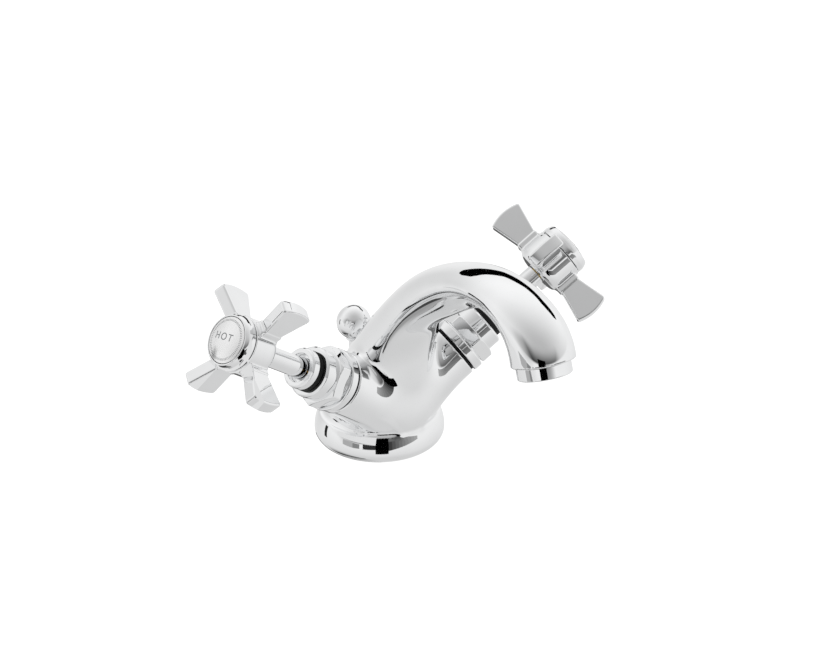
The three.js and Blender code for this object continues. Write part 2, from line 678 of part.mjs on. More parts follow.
// All pieces of one valve and its handle, in the valve's own frame.
function valveGroup(prefix, side, restAngle) {
  const valve = new THREE.Group();
  valve.applyMatrix4(valveFrame(side));
  const pieces = [
    ['valve_bonnet', bonnet(), chrome()],
    ['bonnet_seal', bonnetSeal(), rubber()],
    ['seat_seal', seatSeal(), rubber()],
    ['fixed_disc', ceramicDisc(FIXED_DISC), ceramic()],
    ['moving_disc', ceramicDisc(MOVING_DISC), ceramic()],
    ['spindle', spindle(), brass()],
    ['spindle_seal', spindleSeal(), rubber()],
    ['circlip', circlip(), steel()],
    ['spindle_sleeve', spindleSleeve(), chrome()],
    ['handle', handle(restAngle), chrome()],
    ['handle_screw', handleScrew(), steel()],
    ['index_cap', indexCap(), chrome()],
    ['index_plate', indexPlate(), indexMetal()],
  ];
  for (const [name, geometry, material] of pieces) {
    valve.add(meshOf(`${prefix}_${name}`, geometry, material));
  }
  return valve;
}

function outletGroup() {
  const outlet = new THREE.Group();
  outlet.applyMatrix4(outletMatrix());
  outlet.add(meshOf('aerator_housing', aeratorHousing(), chrome()));
  outlet.add(meshOf('aerator_seal', aeratorSeal(), rubber()));
  outlet.add(meshOf('aerator_insert', aeratorInsert(), plastic()));
  outlet.add(meshOf('aerator_screen', aeratorScreen(), plastic()));
  return outlet;
}

function popUpGroup() {
  const popUp = new THREE.Group();
  popUp.position.y = ROD_Y;
  popUp.add(meshOf('lift_rod_bush', liftRodBush(), plastic()));
  popUp.add(meshOf('lift_rod', liftRod(), chrome()));
  popUp.add(meshOf('lift_knob', liftKnob(), chrome()));
  return popUp;
}

const tap = new THREE.Group();
tap.add(meshOf('mixer_body', mixerBody(), chrome()));
tap.add(meshOf('base_gasket', baseGasket(), rubber()));
tap.add(outletGroup());
tap.add(popUpGroup());
tap.add(valveGroup('hot', -1, HOT_REST_ANGLE));
tap.add(valveGroup('cold', 1, COLD_REST_ANGLE));

export default tap;
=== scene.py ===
import json
import math

import bpy
import numpy as np
from mathutils import Matrix, Vector


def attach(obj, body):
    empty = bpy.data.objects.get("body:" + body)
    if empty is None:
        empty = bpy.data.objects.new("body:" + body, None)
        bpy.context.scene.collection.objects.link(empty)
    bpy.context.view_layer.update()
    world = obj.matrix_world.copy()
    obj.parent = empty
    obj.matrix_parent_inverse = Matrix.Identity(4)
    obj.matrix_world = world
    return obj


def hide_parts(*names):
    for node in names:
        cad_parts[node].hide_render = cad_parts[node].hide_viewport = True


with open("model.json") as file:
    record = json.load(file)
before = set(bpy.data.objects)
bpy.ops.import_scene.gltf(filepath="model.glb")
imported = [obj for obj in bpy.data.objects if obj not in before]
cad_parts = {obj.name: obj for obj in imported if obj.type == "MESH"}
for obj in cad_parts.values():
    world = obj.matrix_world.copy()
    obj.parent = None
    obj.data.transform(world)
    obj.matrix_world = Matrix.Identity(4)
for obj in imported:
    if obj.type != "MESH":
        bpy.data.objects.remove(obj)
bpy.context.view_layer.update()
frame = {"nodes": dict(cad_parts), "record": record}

# Bathroom mixer tap in chrome. Shapes are worked out in millimetres in the part's frame
# (+Z up, spout along -Y, hot valve at -X) and scaled to metres when a mesh is made.

MM = 0.001
DEG = math.pi / 180

# ---------------------------------------------------------------- driving dimensions

BODY_STEP = 0.6  # mesh size of the body, and of the smaller pieces made the same way
FINE_STEP = 0.32
ROUND = 128  # segments of a turned piece

# Spout stations in the plane x = 0, as (y, z): outer line, line of the side corners,
# inner line, and the half width there.
SPOUT = [
    ((17, 30), (-3, 24), (-14, 20), 17.5),
    ((9, 47), (-10, 38), (-19, 33), 17),
    ((-3, 61.5), (-17, 47), (-24, 42), 16.3),
    ((-11, 71), (-24, 56), (-27.5, 52.5), 15.4),
    ((-22.4, 82.7), (-33, 69), (-37, 66), 14.8),
    ((-34, 93), (-42, 79.8), (-46.6, 75), 14.3),
    ((-46.3, 101.4), (-53, 90.6), (-58, 83.8), 13.9),
    ((-60, 109), (-65.5, 99.6), (-69.6, 91.4), 13.6),
    ((-76.6, 113.8), (-79, 105.8), (-81.6, 97.2), 13.3),
    ((-92, 115.4), (-92.5, 107.8), (-92.5, 100.5), 13.2),
    ((-108, 114.6), (-104.5, 106.3), (-102, 98.5), 13.3),
    ((-122, 110), (-112.5, 103), (-107, 95.5), 13.5),
    ((-132, 102.5), (-118, 96.8), (-110, 91), 13.6),
    ((-136.1, 95.9), (-120.3, 90.2), (-110.7, 86.7), 13.5),
]
SPOUT_DEGREE = 8  # of the smooth lines drawn through the stations
SQUARENESS = 0.3175  # how far the spout's crown is from an ellipse towards a box
CORNER = 2.8  # softness of the spout's side corners

# Trunk levels: height, half width, front y, back y
TRUNK = [
    (2, 25.6, -22.5, 25.6),
    (8, 25, -22, 25),
    (14, 23.5, -22.5, 24),
    (22, 22, -25.4, 22),
    (32, 19, -28.6, 16),
    (44, 15.5, -30, 6),
    (54, 13, -31, -6),
    (64, 11.5, -34, -14),
    (72, 10.5, -38.5, -22),
    (78, 9, -42.5, -32),
]
TRUNK_DEGREE = 5

BASE_RADIUS = 28.9
BASE = {"widest": 4.9, "top": 13.2, "upper_arc": 18, "lower_arc": 5.2}

VALVE_START = Vector((0, -9.4, 20.1))
VALVE_RISE = 34.6 * DEG
VALVE_SWEEP = 7.7 * DEG
SOCKET_START = -4  # places along the valve axis, from VALVE_START
SOCKET_END = 36.3
SOCKET = [(16, SOCKET_START), (17, 6), (16, 14), (14.6, 22), (13.9, 29), (13.7, SOCKET_END)]  # radius, place
SOCKET_DEGREE = 4
SOCKET_BORE = 9.6
SEAT = 15  # floor of the bore, where the valve's cartridge sits

OUTLET_TILT = 20 * DEG
OUTLET = Vector((0, -123.4, 91.3))
OUTLET_BORE = {"radius": 9.8, "low": -4, "high": 8}

# Holes that open in the underside
INLET = {"x": 8.6, "y": -7, "radius": 4.6, "top": 25}
STUD_HOLE = {"y": 7, "radius": 3.4, "top": 14}
GASKET_GROOVE = {"inner": 16.2, "outer": 25.7, "depth": 1.5}

ROD_Y = 21.3
ROD_HOLE = 2.7
BUSH_HOLE = {"radius": 4, "top": 8.8}
KNOB_HEIGHT = 46.8
KNOB_RADIUS = 7.7

ARM_MIDDLE = 93
ARM_HALF = 8
ARM_REACH = 28.5
ARM_BULGE = 1.7
ARM_ROOT_HALF = 4.8
ARM_THICKNESS = 6
COLLAR = {"reach": 14.4, "half": 5.4, "thickness": 6.9}
HUB = {"start": 85.8, "end": 100, "radius": 12.2}
REST_ANGLE = {"hot": 58.7 * DEG, "cold": 39.3 * DEG}

CAP_RADIUS = 12
CAP_END = 105.4
PLATE_RADIUS = 10
PLATE_CROWN = 1.5
LETTER_TURN = {"hot": 14 * DEG, "cold": 180 * DEG}
LETTER_SHIFT = (-0.9, 0.9)
TICK = {"count": 72, "inner": 8, "outer": 8.9, "half": 0.1}
MARK_RISE = 0.02  # half the thickness of the letters and ticks

HEX_FLATS = 24
HEX_START = 42.3
HEX_END = 48.2
HEX_CROWN = 13.75  # radius that the hexagon's corners are turned off to
HEX_BORE = 9
HEX_TURN = 12 * DEG

# Holes of the handle, as (radius, lowest place)
SCREW_POCKET = (5.2, 92.5)
CAP_SEAT = (7.5, 96)
SLEEVE_BORE = (3.3, 90.3)  # this one runs down from its place


# ---------------------------------------------------------------- solids as fields
# A field is negative inside a solid and grows by about 1 a millimetre outside it. Sloping
# walls are multiplied by the cosine of their slope to keep that rate.


def soft_min(a, b, blend):
    """The nearer of two fields, with a fillet of about that size where they meet."""
    overlap = np.maximum(blend - np.abs(a - b), 0) / blend
    return np.minimum(a, b) - overlap * overlap * blend / 4


def soft_max(a, b, blend):
    return -soft_min(-a, -b, blend)


def slope(field, points, reach=0.01):
    """The field's rate of change along X, Y and Z at each point."""
    columns = []
    for axis in range(3):
        ahead, behind = points.copy(), points.copy()
        ahead[:, axis] += reach
        behind[:, axis] -= reach
        columns.append((field(*ahead.T) - field(*behind.T)) / (2 * reach))
    return np.stack(columns, 1)


CORNERS = np.array([(i, j, k) for i in (0, 1) for j in (0, 1) for k in (0, 1)])
CELL_EDGES = [(a, b) for a in range(8) for b in range(a + 1, 8) if np.abs(CORNERS[a] - CORNERS[b]).sum() == 1]


def skin(field, low, high, step):
    """Points, unit normals and quads of the surface where the field is 0."""
    low = np.array(low, float)
    axes = [np.arange(a, b + step, step) for a, b in zip(low, high)]
    slabs = np.array_split(axes[0], 10)
    rows, columns = axes[1][None, :, None], axes[2][None, None, :]
    values = np.concatenate([field(slab[:, None, None], rows, columns) for slab in slabs])
    inside = values < 0
    size = np.array(inside.shape) - 1
    shifted = [inside[i : i + size[0], j : j + size[1], k : k + size[2]] for i, j, k in CORNERS]
    count = sum(part.astype(np.int8) for part in shifted)
    crossed = (count > 0) & (count < 8)
    index = np.full(crossed.shape, -1)
    index[crossed] = np.arange(crossed.sum())
    cells = np.argwhere(crossed)
    corner_values = [values[tuple((cells + c).T)] for c in CORNERS]
    total, hits = np.zeros((len(cells), 3)), np.zeros(len(cells))
    for a, b in CELL_EDGES:
        start, end = corner_values[a], corner_values[b]
        cut = (start < 0) != (end < 0)
        share = np.where(cut, start / np.where(cut, start - end, 1), 0)
        total += cut[:, None] * (CORNERS[a] + share[:, None] * (CORNERS[b] - CORNERS[a]))
        hits += cut
    points = low + step * (cells + total / hits[:, None])
    for _ in range(3):
        gradient = slope(field, points)
        move = field(*points.T)[:, None] * gradient / ((gradient**2).sum(1) + 1e-6)[:, None]
        length = np.linalg.norm(move, axis=1)[:, None]
        points -= move * np.minimum(1, 0.4 * step / np.maximum(length, 1e-9))
    normals = slope(field, points)
    normals /= np.linalg.norm(normals, axis=1)[:, None]
    quads = []
    for a in range(3):
        b, c = (a + 1) % 3, (a + 2) % 3
        ahead, across = np.eye(3, dtype=int)[b], np.eye(3, dtype=int)[c]
        start = np.take(inside, np.arange(size[a]), axis=a)
        end = np.take(inside, np.arange(1, size[a] + 1), axis=a)
        edges = np.argwhere(start != end)
        middle = (edges[:, b] > 0) & (edges[:, c] > 0)
        edges = edges[middle & (edges[:, b] < size[b]) & (edges[:, c] < size[c])]
        ring = [edges - ahead - across, edges - across, edges, edges - ahead]
        quad = np.stack([index[tuple(cell.T)] for cell in ring], 1)
        leaving = start[tuple(edges.T)]
        quads.append(np.where(leaving[:, None], quad, quad[:, ::-1]))
    return points, normals, np.concatenate(quads)


# ---------------------------------------------------------------- meshes


def add_piece(name, shape, body, material, replaces=(), place=None):
    """A shown piece from (points in mm, normals, faces), riding on a CAD body."""
    points, normals, faces = shape
    matrix = np.array(place or Matrix.Identity(4))
    points = points @ matrix[:3, :3].T + matrix[:3, 3]
    normals = normals @ matrix[:3, :3].T
    mesh = bpy.data.meshes.new(name)
    mesh.from_pydata(points * MM, [], [list(face) for face in faces])
    mesh.polygons.foreach_set("use_smooth", np.ones(len(mesh.polygons), bool))
    mesh.update()
    mesh.normals_split_custom_set_from_vertices(normals.tolist())
    mesh.materials.append(material)
    piece = bpy.data.objects.new(name, mesh)
    bpy.context.scene.collection.objects.link(piece)
    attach(piece, body)
    if replaces:
        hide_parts(*replaces)
    return piece


def merged(*shapes):
    """Several shapes as one."""
    points, normals, faces, start = [], [], [], 0
    for one in shapes:
        points.append(one[0])
        normals.append(one[1])
        faces += [[i + start for i in face] for face in one[2]]
        start += len(one[0])
    return np.concatenate(points), np.concatenate(normals), faces


def eased(profile, radius, steps=4):
    """A profile of (radius, height) with its corners rounded, and the normal at each point."""
    profile = np.array(profile, float)
    closed = np.allclose(profile[0], profile[-1])
    marks = profile[:-1] if closed else profile
    count = len(marks)
    points, normals = [], []
    for i, corner in enumerate(marks):
        if not closed and i in (0, count - 1):
            along = marks[1] - marks[0] if i == 0 else marks[-1] - marks[-2]
            points.append(corner)
            normals.append(along)
            continue
        before, after = marks[i - 1] - corner, marks[(i + 1) % count] - corner
        reach = min(radius, 0.45 * np.linalg.norm(before), 0.45 * np.linalg.norm(after))
        start = corner + before * reach / np.linalg.norm(before)
        end = corner + after * reach / np.linalg.norm(after)
        for t in np.linspace(0, 1, steps + 1):
            points.append((1 - t) ** 2 * start + 2 * t * (1 - t) * corner + t**2 * end)
            normals.append((1 - t) * (corner - start) + t * (end - corner))
    if closed:
        points.append(points[0])
        normals.append(normals[0])
    along = np.array(normals)
    along /= np.linalg.norm(along, axis=1)[:, None]
    return np.array(points), np.stack([along[:, 1], -along[:, 0]], 1)


def turned(profile, radius=0.25, segments=ROUND):
    """A turned shape about +Z from a profile that runs with the solid on its left."""
    points, normals = eased(profile, radius)
    angles = np.arange(segments) * 2 * math.pi / segments
    wheel = np.stack([np.cos(angles), np.sin(angles)], 1)
    places, directions = [], []
    for (r, z), (out, up) in zip(points, normals):
        places.append(np.column_stack([wheel * max(r, 1e-4), np.full(segments, z)]))
        directions.append(np.column_stack([wheel * out, np.full(segments, up)]))
    faces = []
    for row in range(len(points) - 1):
        for i in range(segments):
            j = (i + 1) % segments
            below, above = row * segments, (row + 1) * segments
            faces.append([below + i, below + j, above + j, above + i])
    return np.concatenate(places), np.concatenate(directions), faces


def valve_frame(side, turn=0):
    """Turns +Z onto a valve's axis, with +X facing the user, then turned about that axis."""
    flat = math.cos(VALVE_RISE)
    axis = Vector((side * flat * math.cos(VALVE_SWEEP), -flat * math.sin(VALVE_SWEEP), math.sin(VALVE_RISE)))
    facing = Vector((0, -1, 0))
    facing = (facing - facing.dot(axis) * axis).normalized()
    matrix = Matrix((facing, axis.cross(facing), axis)).transposed().to_4x4()
    matrix.translation = VALVE_START
    return matrix @ Matrix.Rotation(turn, 4, "Z")


# ---------------------------------------------------------------- body


def smooth_lines(places, values, degree):
    """One smooth line for each column of values."""
    ends = [places[0], places[-1]]
    return [np.polynomial.Chebyshev.fit(places, column, degree, domain=ends) for column in values.T]


stations = np.array([[*crown, *edge, *belly, half] for crown, edge, belly, half in SPOUT], float)
lengths = sum(np.linalg.norm(np.diff(stations[:, i : i + 2], axis=0), axis=1) for i in (0, 2, 4))
spout_places = np.concatenate([[0], np.cumsum(lengths)]) / lengths.sum()
spout_lines = smooth_lines(spout_places, stations, SPOUT_DEGREE)
spout_slopes = [line.deriv() for line in spout_lines]
trunk_levels = np.array(TRUNK, float)
trunk_lines = smooth_lines(trunk_levels[:, 0], trunk_levels[:, 1:], TRUNK_DEGREE)
socket_marks = np.array(SOCKET, float)
socket_line = smooth_lines(socket_marks[:, 1], socket_marks[:, :1], SOCKET_DEGREE)[0]


def offset_from_station(t, y, z):
    """How far (y, z) lies off the station line at t, and how fast that changes with t."""
    crown_y, crown_z, edge_y, edge_z, belly_y, belly_z = [line(t) for line in spout_lines[:6]]
    rates = [line(t) for line in spout_slopes[:6]]
    line_y, line_z = crown_y - belly_y, crown_z - belly_z
    rate_y, rate_z = rates[0] - rates[4], rates[1] - rates[5]
    off = (y - edge_y) * line_z - (z - edge_z) * line_y
    rate = -rates[2] * line_z + rates[3] * line_y + (y - edge_y) * rate_z - (z - edge_z) * rate_y
    return off, rate


TABLE_LOW, TABLE_STEP, TABLE_SHAPE = np.array([-145.0, -5.0]), 1.0, (185, 130)


def first_guess():
    """For each place on a grid in the plane x = 0, the station that it is nearest to."""
    y = (TABLE_LOW[0] + TABLE_STEP * np.arange(TABLE_SHAPE[0]))[:, None]
    z = (TABLE_LOW[1] + TABLE_STEP * np.arange(TABLE_SHAPE[1]))[None, :]
    best, guess = np.full(TABLE_SHAPE, 1e9), np.zeros(TABLE_SHAPE)
    for t in np.linspace(0, 1, 120):
        crown, edge, belly = [np.array([spout_lines[i](t), spout_lines[i + 1](t)]) for i in (0, 2, 4)]
        along = (crown - belly) / np.linalg.norm(crown - belly)
        height = (y - edge[0]) * along[0] + (z - edge[1]) * along[1]
        off = (y - edge[0]) * along[1] - (z - edge[1]) * along[0]
        above, below = height - np.linalg.norm(crown - edge), -height - np.linalg.norm(edge - belly)
        over = np.maximum(np.maximum(above, below), 0)
        score = np.hypot(off, over)
        guess = np.where(score < best, t, guess)
        best = np.minimum(score, best)
    return guess, best


guess_table, gap_table = first_guess()


def spout_field(x, y, z):
    """The spout: a rounded crown over a shallow belly, meeting at soft side corners."""
    row = np.clip(np.rint((y - TABLE_LOW[0]) / TABLE_STEP).astype(int), 0, TABLE_SHAPE[0] - 1)
    column = np.clip(np.rint((z - TABLE_LOW[1]) / TABLE_STEP).astype(int), 0, TABLE_SHAPE[1] - 1)
    t = guess_table[row, column]
    for _ in range(4):
        off, rate = offset_from_station(t, y, z)
        t = np.clip(t - np.clip(off / np.where(np.abs(rate) > 1e-6, rate, 1e-6), -0.02, 0.02), 0, 1)
    crown_y, crown_z, edge_y, edge_z, belly_y, belly_z, half = [line(t) for line in spout_lines]
    span_y, span_z = crown_y - belly_y, crown_z - belly_z
    span = np.hypot(span_y, span_z)
    height = ((y - edge_y) * span_y + (z - edge_z) * span_z) / span
    off = np.abs((y - edge_y) * span_z - (z - edge_z) * span_y) / span
    rise = np.hypot(crown_y - edge_y, crown_z - edge_z)
    depth = np.hypot(edge_y - belly_y, edge_z - belly_z)
    u = np.maximum(height, 0) / rise
    v = np.abs(x) / half
    outer = v**2 + u**2 - SQUARENESS * v**2 * u**2 - 1
    outer_x = (2 * v - 2 * SQUARENESS * v * u**2) / half
    outer_u = (2 * u - 2 * SQUARENESS * u * v**2) / rise
    crown_field = outer / np.maximum(np.hypot(outer_x, outer_u), 0.02)
    belly_field = (-height / depth + v**2 - 1) / np.hypot(2 * v / half, 1 / depth)
    field = soft_max(crown_field, belly_field, CORNER)
    field = np.where(gap_table[row, column] > 8, np.maximum(field, gap_table[row, column] - 3), field)
    ended = ((t <= 0) | (t >= 1)) & (off > 0.02)
    field = np.where(ended, np.maximum(field, off), field)
    face = -(y - OUTLET[1]) * math.sin(OUTLET_TILT) - (z - OUTLET[2]) * math.cos(OUTLET_TILT)
    return np.where(t > 0.6, soft_max(field, face + 0 * x, 0.6), field)


def trunk_field(x, y, z):
    """The trunk: an ellipse at each height, from the base to inside the spout."""
    level = np.clip(z, trunk_levels[0, 0], trunk_levels[-1, 0])
    half, front, back = [line(level) for line in trunk_lines]
    deep = (back - front) / 2
    u, v = x / half, (y - (front + back) / 2) / deep
    reach = np.sqrt(u**2 + v**2) + 1e-9
    field = reach * (reach - 1) / np.maximum(np.hypot(u / half, v / deep), 1e-3)
    return soft_max(field, np.maximum(z - trunk_levels[-1, 0], trunk_levels[0, 0] - z) + 0 * x, 1.0)


def base_field(x, y, z):
    """The round base: a tight arc below its widest height, a flatter one above it."""
    arc = np.where(z > BASE["widest"], BASE["upper_arc"], BASE["lower_arc"])
    out = np.hypot(x, y) - (BASE_RADIUS - arc)
    height = z - BASE["widest"]
    field = np.hypot(np.maximum(out, 0), height) - arc
    return soft_max(field, z - BASE["top"] + 0 * out, 0.6)


def along_valve(side, x, y, z):
    """Place along a valve's axis and distance from it."""
    axis = valve_frame(side).col[2]
    dx, dy, dz = x - VALVE_START.x, y - VALVE_START.y, z - VALVE_START.z
    s = dx * axis[0] + dy * axis[1] + dz * axis[2]
    return s, np.sqrt(np.maximum(dx**2 + dy**2 + dz**2 - s**2, 1e-12))


def socket_field(side, x, y, z):
    s, rho = along_valve(side, x, y, z)
    wall = (rho - socket_line(np.clip(s, SOCKET_START, SOCKET_END))) * 0.985
    return soft_max(wall, np.maximum(s - SOCKET_END, SOCKET_START - s), 0.9)


def upright_hole(x, y, z, at_x, at_y, radius, top):
    return np.maximum(np.hypot(x - at_x, y - at_y) - radius, z - top)


def outlet_hole(x, y, z):
    outlet_y, outlet_z = y - OUTLET.y, z - OUTLET.z
    height = outlet_y * math.sin(OUTLET_TILT) + outlet_z * math.cos(OUTLET_TILT)
    off = outlet_y * math.cos(OUTLET_TILT) - outlet_z * math.sin(OUTLET_TILT)
    ends = np.maximum(height - OUTLET_BORE["high"], OUTLET_BORE["low"] - height)
    return np.maximum(np.hypot(x, off) - OUTLET_BORE["radius"], ends)


def body_field(x, y, z):
    """The body casting: trunk, spout, sockets and base in one, less its holes."""
    field = soft_min(trunk_field(x, y, z), spout_field(x, y, z), 4)
    for side in (-1, 1):
        field = soft_min(field, socket_field(side, x, y, z), 6)
    field = soft_min(field, base_field(x, y, z), 2.2)
    holes = []
    for side in (-1, 1):
        s, rho = along_valve(side, x, y, z)
        holes.append(np.maximum(rho - SOCKET_BORE, SEAT - s))
        holes.append(upright_hole(x, y, z, side * INLET["x"], INLET["y"], INLET["radius"], INLET["top"]))
    holes.append(outlet_hole(x, y, z))
    holes.append(upright_hole(x, y, z, 0, STUD_HOLE["y"], STUD_HOLE["radius"], STUD_HOLE["top"]))
    holes.append(upright_hole(x, y, z, 0, ROD_Y, ROD_HOLE, KNOB_HEIGHT))
    holes.append(upright_hole(x, y, z, 0, ROD_Y, BUSH_HOLE["radius"], BUSH_HOLE["top"]))
    r = np.hypot(x, y)
    groove = np.maximum(GASKET_GROOVE["inner"] - r, r - GASKET_GROOVE["outer"])
    holes.append(np.maximum(groove, z - GASKET_GROOVE["depth"]))
    for hole in holes:
        field = soft_max(field, -hole, 0.5)
    return soft_max(field, -z + 0 * x, 0.5)


# ---------------------------------------------------------------- valve and handle fields


def hexagon_field(x, y, flats):
    angle = np.arctan2(y, x)
    sector = np.round(angle / (60 * DEG)) * 60 * DEG
    return np.hypot(x, y) * np.cos(angle - sector) - flats / 2


def bonnet_hexagon(x, y, z):
    """The hexagon of the bonnet, its corners turned off to a round crown."""
    rho = np.hypot(x, y)
    crown = soft_max(rho - HEX_CROWN, (z - HEX_END) * 0.86 + (rho - 12.2) * 0.5, 0.3)
    crown = soft_max(crown, (HEX_START - z) * 0.77 + (rho - 13.2) * 0.64, 0.3)
    field = soft_max(hexagon_field(x, y, HEX_FLATS) + 0 * z, crown, 0.35)
    field = soft_max(field, np.maximum(z - HEX_END, HEX_START - z) + 0 * rho, 0.3)
    return np.maximum(field, HEX_BORE - rho)


def arm_field(x, y, z):
    """One paddle arm along +X with the collar at its root."""
    across = z - ARM_MIDDLE
    share = np.clip((x - COLLAR["reach"]) / (ARM_REACH - COLLAR["reach"]), 0, 1.3)
    side = (np.abs(across) - (ARM_ROOT_HALF + (ARM_HALF - ARM_ROOT_HALF) * share)) * 0.975
    tip = (x - ARM_REACH - ARM_BULGE * (1 - (across / ARM_HALF) ** 2)) * 0.93
    paddle = soft_max(soft_max(side, tip, 1.0), np.abs(y) - ARM_THICKNESS / 2, 1.0)
    collar = soft_max(np.abs(y) - COLLAR["thickness"] / 2, np.abs(across) - COLLAR["half"], 1.4)
    collar = soft_max(collar, x - COLLAR["reach"], 0.7)
    return np.maximum(soft_min(paddle, collar, 0.5), 7 - x)


def handle_field(x, y, z):
    """The hub with its four arms, less its bore, screw pocket and the cap's seat."""
    rho = np.hypot(x, y)
    hub = soft_max(rho - HUB["radius"], HUB["start"] - z, 5)
    hub = soft_max(hub, z - HUB["end"], 0.4)
    field = hub
    for ax, ay in ((x, y), (y, -x), (-x, -y), (-y, x)):
        field = soft_min(field, arm_field(ax, ay, z), 0.8)
    bore = np.maximum(rho - SLEEVE_BORE[0], z - SLEEVE_BORE[1])
    pocket = np.maximum(rho - SCREW_POCKET[0], SCREW_POCKET[1] - z)
    seat = np.maximum(rho - CAP_SEAT[0], CAP_SEAT[1] - z)
    field = np.maximum(field, -bore)
    field = np.maximum(field, -pocket)
    return soft_max(field, -seat, 0.3)


# ---------------------------------------------------------------- materials


def new_material(name):
    """A material with its node tree and main shader."""
    material = bpy.data.materials.new(name)
    material.use_nodes = True
    tree = material.node_tree
    return material, tree, tree.nodes["Principled BSDF"]


def noise(tree, scale, detail=4):
    coords = tree.nodes.new("ShaderNodeTexCoord")
    texture = tree.nodes.new("ShaderNodeTexNoise")
    texture.inputs["Scale"].default_value = scale
    texture.inputs["Detail"].default_value = detail
    tree.links.new(coords.outputs["Object"], texture.inputs["Vector"])
    return texture.outputs["Fac"]


def spread(tree, source, low, high):
    """The noise's middle range stretched to run from low to high."""
    ramp = tree.nodes.new("ShaderNodeMapRange")
    ramp.inputs["From Min"].default_value = 0.3
    ramp.inputs["From Max"].default_value = 0.7
    ramp.inputs["To Min"].default_value = low
    ramp.inputs["To Max"].default_value = high
    tree.links.new(source, ramp.inputs["Value"])
    return ramp.outputs["Result"]


def finish_material(name, dark, light, metallic, roughness, grain=0.05, specular=0.5):
    """A finish whose colour and roughness vary in soft patches, with a fine grain."""
    grain_scale, patch_scale = 2500, 60
    material, tree, shader = new_material(name)
    shader.inputs["Specular IOR Level"].default_value = specular
    shader.inputs["Metallic"].default_value = metallic
    mix = tree.nodes.new("ShaderNodeMix")
    mix.data_type = "RGBA"
    mix.inputs["A"].default_value = (*dark, 1)
    mix.inputs["B"].default_value = (*light, 1)
    tree.links.new(spread(tree, noise(tree, patch_scale), 0, 1), mix.inputs["Factor"])
    tree.links.new(mix.outputs["Result"], shader.inputs["Base Color"])
    tree.links.new(spread(tree, noise(tree, patch_scale * 3), *roughness), shader.inputs["Roughness"])
    bump = tree.nodes.new("ShaderNodeBump")
    bump.inputs["Strength"].default_value = grain
    bump.inputs["Distance"].default_value = 0.00002
    tree.links.new(noise(tree, grain_scale, 2), bump.inputs["Height"])
    tree.links.new(bump.outputs["Normal"], shader.inputs["Normal"])
    return material


chrome = finish_material("chrome", (0.86, 0.865, 0.87), (0.9, 0.905, 0.91), 1, (0.025, 0.05), 0.02)
index_metal = finish_material("index_metal", (0.88, 0.88, 0.88), (0.93, 0.93, 0.93), 1, (0.18, 0.26), 0.1)
brass = finish_material("brass", (0.62, 0.45, 0.17), (0.75, 0.57, 0.26), 1, (0.22, 0.38), 0.3)
steel = finish_material("steel", (0.5, 0.51, 0.52), (0.62, 0.63, 0.64), 1, (0.2, 0.35), 0.3)
rubber = finish_material("rubber", (0.008, 0.008, 0.008), (0.02, 0.02, 0.02), 0, (0.5, 0.75), 0.5, 0.15)
ceramic = finish_material("ceramic", (0.86, 0.85, 0.8), (0.93, 0.92, 0.88), 0, (0.12, 0.25), 0.1)
plastic = finish_material("plastic", (0.7, 0.7, 0.68), (0.8, 0.8, 0.77), 0, (0.35, 0.5), 0.3)
marking = finish_material("marking", (0.2, 0.21, 0.22), (0.28, 0.29, 0.3), 0, (0.4, 0.6), 0.2)
finishes = {
    "chrome": chrome,
    "index_metal": index_metal,
    "brass": brass,
    "steel": steel,
    "rubber": rubber,
    "ceramic": ceramic,
    "plastic": plastic,
}

for part in frame["record"]["subparts"]:
    node = frame["nodes"][part["node"]]
    node.data.materials.clear()
    node.data.materials.append(finishes[part["material_slot"]])

# ---------------------------------------------------------------- pieces

body = skin(body_field, (-45, -139, -1.2), (45, 31, 118), BODY_STEP)
add_piece("body_shell", body, "tap_body", chrome, ["mixer_body"])

outlet_frame = Matrix.Translation(OUTLET) @ Matrix.Rotation(-OUTLET_TILT, 4, "X")
housing = turned(
    [
        (8.6, -5.6), (10.9, -5.6), (11.2, -5.3), (11.2, -0.3), (9.5, -0.3), (9.5, 4.6),
        (8.2, 4.6), (8.2, -4.2), (7.6, -4.2), (7.6, -5), (8.6, -5.6),
    ],
    0.3,
)
add_piece("aerator_ring", housing, "tap_body", chrome, ["aerator_housing"], outlet_frame)

rod_frame = Matrix.Translation((0, ROD_Y, 0))
rod = turned([(0, 1), (2.3, 1), (2.3, 43.8), (0, 43.8)], 0.4)
add_piece("lift_rod_bar", rod, "lift_control", chrome, ["lift_rod"], rod_frame)
foot = KNOB_HEIGHT - KNOB_RADIUS - 0.6
knob_profile = [(0, 44.1), (2.6, 44.1), (2.6, foot), (3.6, foot)]
for step in range(4, 41):
    angle = (-90 + step / 40 * 180) * DEG
    knob_profile.append((max(KNOB_RADIUS * math.cos(angle), 0), KNOB_HEIGHT + KNOB_RADIUS * math.sin(angle)))
knob = turned(knob_profile, 0.3)
add_piece("lift_knob_ball", knob, "lift_control", chrome, ["lift_knob"], rod_frame)

bonnet_turned = turned(
    [
        (7.7, 16), (9.2, 16), (9.2, 37.5), (13.5, 37.5), (13.9, 37.9), (13.9, 41.2),
        (13.5, 41.6), (11.8, 41.6), (11.8, 42.4), (11.2, 42.4), (11.2, 53.8), (10.4, 54.6),
        (8, 54.6), (8, 57), (8.6, 57), (8.9, 57.3), (8.9, 60.3), (8.2, 61),
        (6.4, 61), (6.4, 58.4), (4.3, 58.4), (4.3, 28), (7.7, 27), (7.7, 16),
    ],
    0.25,
)
bonnet = merged(bonnet_turned, skin(bonnet_hexagon, (-15, -15, 41.5), (15, 15, 49), FINE_STEP))
# Black rubber ring set flush in the bonnet's groove: painted shade, standing in for the dark reflection and
# shadow in the groove.
groove_shade_ring = turned([(8.1, 54.8), (8.9, 54.8), (8.9, 56.9), (8.1, 56.9), (8.1, 54.8)], 0.3)
handle = skin(handle_field, (-32, -32, 84), (32, 32, 102), FINE_STEP)
sleeve = turned([(3.3, 60), (4.5, 60), (4.5, 85.5), (3.3, 85.5), (3.3, 60)], 0.2)
